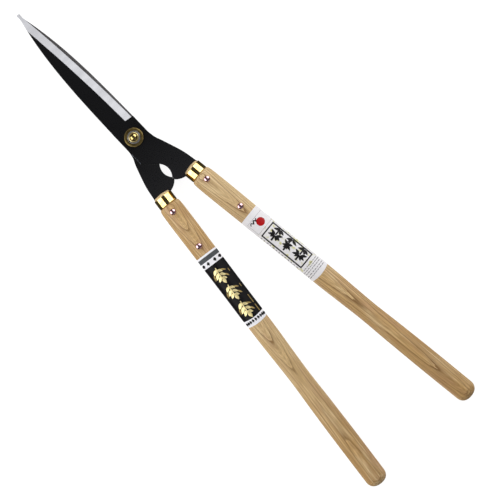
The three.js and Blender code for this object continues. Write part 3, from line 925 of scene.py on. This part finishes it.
def paint_blade(obj, to_blade):
    """Gives the ground bevel, the ground inner face and the rubbed step edge their own materials."""
    for face in obj.data.polygons:
        point = to_blade @ (face.center / MM)
        tilt, out = face.normal.z, face.normal.x
        on_bevel = 0.80 < tilt < 0.97 and out > 0.2 and point.y > HEEL - 4
        on_land = out > 0.5 and point.y > HEEL and point.x > edge_at(point.y) - 0.1
        on_inner = tilt < -0.9 and point.z > -0.1 and point.y > BLADE_BASE + 2
        on_step = 0.2 < tilt < 0.95 and point.x < 1 - STEP_X and STEP_FOOT < point.y < BLADE_BASE
        if on_bevel or on_land:
            face.material_index = BEVEL
        elif on_inner:
            face.material_index = INNER
        else:
            face.material_index = WORN if on_step else BLACK


def part_ground_faces(obj):
    """Makes the lines round the ground faces sharp and keeps the flats flat beside rounded edges."""
    with opened(obj) as bm:
        for edge in bm.edges:
            if len({face.material_index for face in edge.link_faces} - {WORN}) > 1:
                edge.smooth = False
    weighted = obj.modifiers.new("flat_faces", "WEIGHTED_NORMAL")
    weighted.keep_sharp = True


def forging(name, body, offset, lean, pivot_hole, turned_over):
    """A blade with its neck and tang. Both are the same forging, and the rear one is turned over."""
    place = Matrix.Translation((0, 0, MEET_Z * MM))
    if turned_over:
        place = place @ Matrix.Rotation(math.pi, 4, "Y")
    leaned = Matrix.Translation((offset, 0, 0)) @ Matrix.Rotation(-lean, 4, "Z")
    to_blade = Matrix.Rotation(lean, 4, "Z") @ Matrix.Translation((-offset, 0, 0))
    handle_place = Matrix.Translation((HANDLE_ROOT_X, 0, 0)) @ Matrix.Rotation(HANDLE_ANGLE, 4, "Z")
    to_handle = handle_place.inverted()

    def keep_sharp(x, y, z):
        spot = to_blade @ Vector((x, y, z))
        in_bevel = spot.y > HEEL - 3 and spot.x > edge_at(max(spot.y, HEEL)) - BEVEL_WIDTH - 1.5
        at_tip = spot.y > BLADE_TIP - 0.2
        in_pivot_hole = math.hypot(x, y) < BOLT_SQUARE
        where_neck_meets_blade = abs(x) > STEP_X - 1.9 and SOFT_END + 0.1 < y < 1
        where_stops_meet = abs(x) < 1.2 and y < EYE_BOTTOM + 2
        round_nose = -(to_handle @ Vector((x, y, z))).y > NOSE_START - 2
        return (
            in_bevel or at_tip or in_pivot_hole
            or where_neck_meets_blade or where_stops_meet or round_nose
        )

    obj = new_object(name, moved(prism(blade_outline(offset), GAP / 2, HALF_THICKNESS), leaned), place)
    carve(obj, moved(bevel_tool(), leaned))
    carve(obj, neck_tool(offset), "UNION")
    carve(obj, moved(handle_room(), handle_place))
    carve(obj, pivot_hole)
    soften(obj, keep_sharp)
    add_tang(obj, handle_place)
    close_seams(obj)
    looks = ("black", "bevel", "inner", "worn")
    finish_piece(obj, body, looks, name.replace("_steel", ""), 38)
    paint_blade(obj, to_blade)
    part_ground_faces(obj)


def forged_halves():
    bore = pin(BOLT_RADIUS + 0.1, -1, HALF_THICKNESS + 1, 64)
    forging("front_blade_steel", "front_half", BLADE_OFFSET, BLADE_LEAN, bore, False)
    side = BOLT_SQUARE + 2 * GAP
    square = box(side, side, 4 * PLATE)
    forging("rear_blade_steel", "rear_half", -BLADE_OFFSET, -BLADE_LEAN, square, True)


# ---- Pivot hardware ----

BORE = BOLT_RADIUS + GAP


def pivot_bolt():
    half_head, edge = HEAD_HEIGHT / 2, HEAD_RADIUS - HEAD_FACE_RADIUS
    head = lathe([
        (0, 0), *arc((HEAD_FACE_RADIUS, half_head), (edge, half_head), -90, 0, 8),
        (HEAD_RADIUS, HEAD_HEIGHT - HEAD_EASE), (HEAD_RADIUS - HEAD_EASE, HEAD_HEIGHT), (0, HEAD_HEIGHT),
    ])
    obj = new_object("pivot_bolt_brass", head)
    height, overlap = GAP + PLATE, 0.05
    square = box(BOLT_SQUARE, BOLT_SQUARE, height, z=HEAD_HEIGHT + height / 2 - overlap)
    carve(obj, square, "UNION")
    dome = arc((0, NUT_TOP + BOLT_SHOWS), (BOLT_RADIUS, BOLT_DOME_HEIGHT), 0, 90, 14)
    carve(obj, lathe([(0, half_head), (BOLT_RADIUS, half_head), *dome], 72), "UNION")
    finish_piece(obj, "rear_half", ["bolt"], "pivot_bolt")


def pivot_cup():
    low, top = CUP_Z, CUP_Z + CUP_HEIGHT
    inside = low + CUP_FLOOR
    lip = arc((CUP_RADIUS - CUP_LIP, top - CUP_LIP), (CUP_LIP, CUP_LIP), 0, 180, 10)
    wall = [(CUP_RADIUS - 1.0, top - 0.6), (CUP_RADIUS - 1.7, inside + 0.45), (CUP_RADIUS - 3.4, inside)]
    foot = arc((CUP_RADIUS - CUP_FOOT[0], low + CUP_FOOT[1]), CUP_FOOT, -90, 0, 6)
    obj = new_object("pivot_cup_washer_brass", lathe(ring(BORE, [*foot, *lip, *spline(wall, 6)[1:]])))
    finish_piece(obj, "rear_half", ["cup_dish_shade", "rim"], "pivot_cup_washer", 45)
    # Inward of the polished rim the dish takes the darkened brass, which is its painted shade.
    for face in obj.data.polygons:
        across = math.hypot(face.center.x, face.center.y) / MM
        face.material_index = 1 if across > CUP_RADIUS - CUP_POLISHED else 0


def pivot_spring():
    low, high = SPRING_Z, SPRING_Z + SPRING_THICKNESS
    outer = [
        (SPRING_RADIUS - SPRING_FOOT_EASE, low), (SPRING_RADIUS, low + SPRING_FOOT_EASE),
        (SPRING_RADIUS, high - SPRING_TOP_EASE), (SPRING_RADIUS - SPRING_TOP_EASE, high),
    ]
    obj = new_object("pivot_spring_washer_steel", lathe(ring(BORE, outer)))
    split = box(2 * SPRING_RADIUS, SPRING_SPLIT, 4 * SPRING_THICKNESS, x=-SPRING_RADIUS, z=low)
    carve(obj, split)
    finish_piece(obj, "rear_half", ["steel"], "pivot_spring_washer", 30)


def pivot_nut():
    shoulder = arc((NUT_RADIUS - NUT_ROUND, NUT_TOP - NUT_ROUND), (NUT_ROUND, NUT_ROUND), 0, 90, 8)
    profile = [
        (BORE, NUT_Z), (NUT_RADIUS - NUT_FOOT_EASE, NUT_Z), (NUT_RADIUS, NUT_Z + NUT_FOOT_EASE),
        *shoulder, (BORE + NUT_MOUTH[0], NUT_TOP), (BORE, NUT_TOP - NUT_MOUTH[1]), (BORE, NUT_Z),
    ]
    obj = new_object("pivot_nut_brass", lathe(profile))
    finish_piece(obj, "rear_half", ["nut"], "pivot_nut")


# ---- Handles ----


def butt_profile(steps):
    radius, length = GRIP[-1][1], HANDLE_END - BUTT_START
    made = []
    for angle in spread(math.pi / 2, 0, steps)[1:-1]:
        across, along = math.sin(angle) ** BUTT_SQUARENESS, math.cos(angle) ** BUTT_SQUARENESS
        made.append((radius * across, BUTT_START + length * along))
    return made + [(0, HANDLE_END)]


def handle(word):
    """A turned handle with a slot for the tang, rivet holes, and flat seats for the heads and burrs."""
    side = SIDES[word]
    shoulder, ease = FERRULE_END + GAP, 0.25
    profile = [
        *nose_profile(0, 10), (SPIGOT_RADIUS, shoulder),
        (FERRULE_RADIUS - 0.1, shoulder), (FERRULE_RADIUS + ease, shoulder + ease),
        *[(radius, station) for station, radius in GRIP], *butt_profile(24),
    ]
    obj = new_object(f"{word}_handle_oak", lathe(profile, along="handle"), place_of(side))
    start, end = NOSE_START - 1, TANG_END + 2
    slot = box(TANG_WIDTH + 2 * GAP, end - start, TANG_THICKNESS + 2 * GAP, y=-(start + end) / 2)
    carve(obj, slot)
    x = side * RIVET_OFFSET
    for station in RIVET_STATIONS:
        for radius, low, high, segments in (
            (RIVET_RADIUS, -BEYOND_HANDLE, BEYOND_HANDLE, 32),
            (RIVET_HEAD_RADIUS, RIVET_SEAT, BEYOND_HANDLE, 48),
            (BURR_RADIUS, -BEYOND_HANDLE, -BURR_SEAT, 48),
        ):
            carve(obj, pin(radius + GAP, low, high, segments, x, -station))
    close_seams(obj)
    finish_piece(obj, BODIES[word], [f"{word}_oak"], f"{word}_handle", 30)


def ferrule(word):
    """A sleeve with a softened front end, rolled over at the rear."""
    bore = FERRULE_RADIUS - FERRULE_WALL
    ease, (inward, back) = FERRULE_EASE, FERRULE_ROLL
    front = arc((FERRULE_RADIUS - ease, FERRULE_START + ease), (ease, ease), -90, 0, 6)
    rolled = arc((FERRULE_RADIUS - inward, FERRULE_END - back), FERRULE_ROLL, 0, 90, 12)
    level = [(FERRULE_RADIUS, FERRULE_START + ease + 0.2), (FERRULE_RADIUS, FERRULE_END - back - 0.2)]
    sleeve = lathe(ring(bore, [*front, *level, *rolled]), 128, "handle")
    obj = new_object(f"{word}_ferrule_brass", sleeve, place_of(SIDES[word]))
    finish_piece(obj, BODIES[word], ["brass"], f"{word}_ferrule")


def rivet_profile():
    low, high = -(BURR_SEAT + BURR_THICKNESS + 2 * GAP), RIVET_SEAT + GAP
    dome_height = RIVET_HEAD_HEIGHT - RIVET_HEAD_SIDE
    return [
        *arc((0, low), (RIVET_CLINCH_RADIUS, RIVET_CLINCH_HEIGHT), -90, 0, 8),
        (RIVET_RADIUS, low), (RIVET_RADIUS, high),
        (RIVET_HEAD_RADIUS - RIVET_EASE, high), (RIVET_HEAD_RADIUS, high + RIVET_EASE),
        *arc((0, high + RIVET_HEAD_SIDE), (RIVET_HEAD_RADIUS, dome_height), 0, 90, 14),
    ]


def burr_profile():
    high = -BURR_SEAT - GAP
    low = high - BURR_THICKNESS
    outer = [(BURR_RADIUS - BURR_EASE, low), (BURR_RADIUS, low + BURR_EASE), (BURR_RADIUS, high)]
    return ring(RIVET_RADIUS + GAP, outer)


def rivets(word):
    side = SIDES[word]
    for number, station in enumerate(RIVET_STATIONS, 1):
        place = place_of(side) @ Matrix.Translation(Vector((side * RIVET_OFFSET, -station, 0)) * MM)
        for kind, profile in (("rivet", rivet_profile()), ("burr", burr_profile())):
            node = f"{word}_{kind}_{number}"
            obj = new_object(f"{node}_nickel", lathe(profile, 48), place)
            finish_piece(obj, BODIES[word], ["nickel"], node)


# ---- Labels and what is printed on them ----


def label(word):
    start, end = LABEL_SPANS[word]
    outer = [(grip_radius(s) + LABEL_LIFT + LABEL_THICKNESS, s) for s in spread(start, end, 40)]
    inner = [(grip_radius(s) + LABEL_LIFT, s) for s in spread(end, start, 40)]
    bm = lathe([*outer, *inner, outer[0]], 128, "handle")
    for vert in bm.verts:
        front = max(vert.co.z, 0) / math.hypot(vert.co.x, vert.co.z)
        vert.co.y -= LABEL_BULGE * front * front * (-vert.co.y - start) / (end - start)
    obj = new_object(f"{word}_label_wrap", bm, place_of(SIDES[word]))
    slot = LABEL_SLOTS[word]
    finish_piece(obj, BODIES[word], [slot], f"{word}_label")


def printed(word, kind, shapes, look):
    """Ink or foil on a label. Each shape is a list of (station, across) points, where across is the
    distance from the handle's front line as seen from the front, positive towards its outer side. The
    shapes are cut into narrow strips and wrapped round the handle."""
    side = SIDES[word]
    bm = bmesh.new()
    for shape in shapes:
        bm.faces.new([bm.verts.new((side * across, -station, 0)) for station, across in shape])
    cuts = [((1, 0, 0), at / 2) for at in range(-28, 28)] + [((0, 1, 0), at) for at in range(-280, -150, 4)]
    for axis, at in cuts:
        geom = [*bm.verts, *bm.edges, *bm.faces]
        bmesh.ops.bisect_plane(bm, geom=geom, plane_co=Vector(axis) * at, plane_no=axis)
    for face in bm.faces:
        if face.normal.z < 0:
            face.normal_flip()
    upper = bmesh.ops.extrude_face_region(bm, geom=bm.faces[:])["geom"]
    for vert in [item for item in upper if isinstance(item, bmesh.types.BMVert)]:
        vert.co.z = INK_THICKNESS
    for vert in bm.verts:
        radius = grip_radius(-vert.co.y) + LABEL_LIFT + LABEL_THICKNESS + INK_LIFT
        angle = math.asin(max(-0.98, min(0.98, vert.co.x / radius)))
        lifted = radius + vert.co.z
        vert.co = (lifted * math.sin(angle), vert.co.y, lifted * math.cos(angle))
    obj = new_object(f"{word}_label_{kind}", bm, place_of(side))
    finish_piece(obj, BODIES[word], [look])


def bar(s0, s1, t0, t1):
    return [(s0, t0), (s1, t0), (s1, t1), (s0, t1)]


def leaf(s, t, length, width, degrees):
    """A pointed leaf from its stalk at (s, t), drawn towards an angle from the handle's direction."""
    turn = math.radians(degrees)
    half = [(u, width / 2 * math.sin(math.pi * u ** 0.8) ** 0.9) for u in spread(0, 1, 12)[1:-1]]
    outline = [(0, 0), *half, (1, 0), *[(u, -y) for u, y in half[::-1]]]
    return [
        (s + length * u * math.cos(turn) - y * math.sin(turn),
         t + length * u * math.sin(turn) + y * math.cos(turn))
        for u, y in outline
    ]


def stroke(points, width):
    """A tapering brush stroke along a curve."""
    path = spline(points, 6)
    upper, lower = [], []
    for i, (s, t) in enumerate(path):
        before, after = path[max(i - 1, 0)], path[min(i + 1, len(path) - 1)]
        ds, dt = after[0] - before[0], after[1] - before[1]
        length = math.hypot(ds, dt)
        half = width / 2 * (0.35 + 0.65 * math.sin(math.pi * (0.15 + 0.7 * i / (len(path) - 1))))
        upper.append((s - dt / length * half, t + ds / length * half))
        lower.append((s + dt / length * half, t - ds / length * half))
    return upper + lower[::-1]


def frame_bars(s0, s1, t0, t1, width):
    low, high = t0 + width + 0.02, t1 - width - 0.02
    return [
        bar(s0, s1, t1 - width, t1), bar(s0, s1, t0, t0 + width),
        bar(s0, s0 + width, low, high), bar(s1 - width, s1, low, high),
    ]


def sprig(s, size):
    """A gold leaf sprig: its stem along the handle, a leaf at its tip and leaves in pairs."""
    shapes = [stroke([(s, 1.6), (s + size * 0.45, 2.4), (s + size * 0.8, 1.8)], 1.5)]
    shapes.append(leaf(s + size * 0.72, 1.9, size * 0.34, size * 0.20, -6))
    for along, length in ((0.10, 0.36), (0.34, 0.41), (0.58, 0.33)):
        shapes.append(leaf(s + size * along, 2.7, size * length, size * 0.17, 44))
        shapes.append(leaf(s + size * (along + 0.06), 1.3, size * length * 0.86, size * 0.16, -48))
    return shapes


def bamboo(s, flip):
    """Brushed bamboo: two lengths of cane across the label and leaves that fan out from its knots."""
    shapes = [bar(s + 7.6, s + 9.9, -7.2, 0.4), bar(s + 7.9, s + 9.8, 1.1, 9.6)]
    fans = (((7.9, 0.9), (205, 158, 238)), ((10.0, 0.4), (28, -18, -52)), ((9.9, 9.0), (200, -24, -58)))
    for (along, across), angles in fans:
        for i, angle in enumerate(angles):
            turn = 180 - angle if flip else angle
            shapes.append(leaf(s + along, across, 8.6 - 1.1 * i, 3.3, turn))
    return shapes


def dashes(s0, s1, t0, t1, length, gap, width):
    """A dashed line along one of the two directions."""
    shapes = []
    span = max(s1 - s0, t1 - t0)
    at = 0.0
    while at + length <= span:
        if s1 > s0:
            shapes.append(bar(s0 + at, s0 + at + length, t0, t0 + width))
        else:
            shapes.append(bar(s0, s0 + width, t0 + at, t0 + at + length))
        at += length + gap
    return shapes


def black_label_print():
    """Three gold sprigs, with leaves behind them and dashes beside in darker foil that is painted
    shade, and marks on the bands.
    """
    printed("left", "gold", [*sprig(178.5, 21), *sprig(203, 20.5), *sprig(227, 22.5)], "gold_foil")
    ticks = ((187.5, 191.3, 0.9), (209.8, 214.0, 0.9), (226, 237.5, 1.0), (240, 249.4, 1.0))
    # These leaves and dashes take the darkened copy of the foil, as painted shade.
    dim = [bar(start, end, -10.6, width - 10.6) for start, end, width in ticks]
    for s in (181, 206, 230):
        dim.append(leaf(s + 4, 8.4, 8, 2.0, 16))
        dim.append(leaf(s + 9, -3.4, 6.5, 2.0, -34))
        dim.append(leaf(s + 2, -2.4, 7, 1.8, -52))
    printed("left", "gold_in_shade", dim, "shaded_foil")
    marks = []
    for t in (11.6, 5.0, -4.6, -11.6):
        marks += [leaf(167.6, t, 4.8, 3.2, 0), bar(169.0, 171.0, t + 1.1, t + 2.0)]
    for t in (12.2, 10.0, 7.2, 3.8, 0.0, -3.8, -7.2, -10.0, -12.2):
        marks += [leaf(252.6, t, 4.6, 2.1, 0), bar(253.9, 256.1, t - 1.6, t - 0.9)]
    printed("left", "marks", marks, "black_ink")


def white_label_black():
    """The frame, the bamboo in it, and a scrawled tendril beside the disc."""
    tendril = [(169.0, 1.4), (171.2, -0.6), (169.2, -2.8), (171.8, -5.0), (169.4, -7.2), (171.6, -9.4)]
    return [
        *frame_bars(187.6, 248.1, -10.6, 11.3, 1.55),
        *bamboo(191.0, False), *bamboo(209.2, True), *bamboo(227.6, False),
        stroke(tendril, 1.4), leaf(170.6, -1.6, 2.8, 1.2, 20), leaf(170.4, -6.0, 2.8, 1.2, 20),
    ]


def white_label_grey():
    """Dotted lines round the disc, ticks beside the frame and rows of plain marks below it."""
    shapes = []
    for s in (167.6, 184.4):
        shapes += dashes(s, s, -11.4, 12.2, 0.55, 0.45, 0.4)
    shapes += dashes(168.4, 184.2, -11.4, -11.4, 0.55, 0.45, 0.35)
    for i in range(13):
        start = 188.6 + 4.5 * i
        shapes.append(bar(start, start + random.uniform(1.8, 3.2), -12.7, -12.0))
    for row, s in enumerate((252.0, 254.8, 257.6, 261.0, 263.8)):
        t = 12.2 if row % 2 else 11.4
        while t > -11:
            length = random.uniform(1.4, 3.8)
            shapes.append(bar(s, s + 0.75, t - length, t))
            t -= length + random.uniform(0.6, 1.2)
    return shapes


def white_label_print():
    disc = arc((176.3, 2.2), (5.2, 5.2), 0, 352.5, 47)
    printed("right", "disc", [disc], "red_ink")
    printed("right", "black", white_label_black(), "black_ink")
    printed("right", "grey", white_label_grey(), "grey_ink")


# ---- Stage ----

VIEW_WIDTH = 590.0  # how wide the view is at the blades' plane
LENS = 135.0
SENSOR = 36.0
LOOK_AT = (6.1, -190.3)
CAMERA_TURN = math.radians(-44.05)
FLOOR_HALF_WIDTH = 6000
FLOOR_GAP = 0.2  # how far the floor lies below the shears


def camera():
    data = bpy.data.cameras.new("camera")
    data.lens = LENS
    data.sensor_width = SENSOR
    data.clip_end = 20
    made = linked("camera", data)
    height = VIEW_WIDTH * LENS / SENSOR
    made.location = Vector((*LOOK_AT, MEET_Z + height)) * MM
    made.rotation_euler = (0, 0, CAMERA_TURN)
    bpy.context.scene.camera = made


def floor():
    bm = bmesh.new()
    bmesh.ops.create_grid(bm, x_segments=1, y_segments=1, size=FLOOR_HALF_WIDTH)
    made = new_object("floor", bm, Matrix.Translation((0, -0.2, cad_box[0].z - FLOOR_GAP * MM)))
    g = Graph("pale_floor")
    grain = g.noise((0.01, 0.01, 0.01), detail=2)
    g.set(Base_Color=g.mix(grain, (0.19, 0.19, 0.19), (0.21, 0.21, 0.21)), Roughness=0.9)
    g.set(Specular_IOR_Level=0.0, Emission_Color=(1.0, 1.0, 1.0), Emission_Strength=0.94)
    made.data.materials.append(g.material)
    made.visible_glossy = False


def softbox(name, middle, tilt, turn, distance, width, length, power):
    """A rectangular light that faces a middle point, tilted from straight above and turned about Z."""
    data = bpy.data.lights.new(name, "AREA")
    data.shape = "RECTANGLE"
    data.size = width
    data.size_y = length
    data.energy = power
    facing = Matrix.Rotation(math.radians(turn), 4, "Z") @ Matrix.Rotation(math.radians(tilt), 4, "Y")
    linked(name, data, Matrix.Translation(middle) @ facing @ Matrix.Translation((0, 0, distance)))


def lights():
    """Two long softboxes beside the blades, a weak one below the butts and a dim sky, in metres."""
    for name, turn in (("softbox_right", 0), ("softbox_left", 180)):
        softbox(name, (0, 0.42, 0), 53, turn, distance=1.4, width=1.65, length=1.5, power=22.5)
    softbox("fill_at_the_butts", (0, -0.3, 0), 62, -90, distance=1.6, width=1.2, length=1.6, power=2)
    world = bpy.data.worlds.new("world")
    world.use_nodes = True
    background = world.node_tree.nodes["Background"]
    background.inputs["Color"].default_value = (0.95, 0.97, 1.0, 1)
    background.inputs["Strength"].default_value = 0.055
    bpy.context.scene.world = world
    bpy.context.scene.view_settings.view_transform = "Standard"


# ---- The scene ----

camera()
forged_halves()
pivot_bolt()
pivot_cup()
pivot_spring()
pivot_nut()
for word in SIDES:
    handle(word)
    ferrule(word)
    rivets(word)
    label(word)
black_label_print()
white_label_print()
floor()
lights()
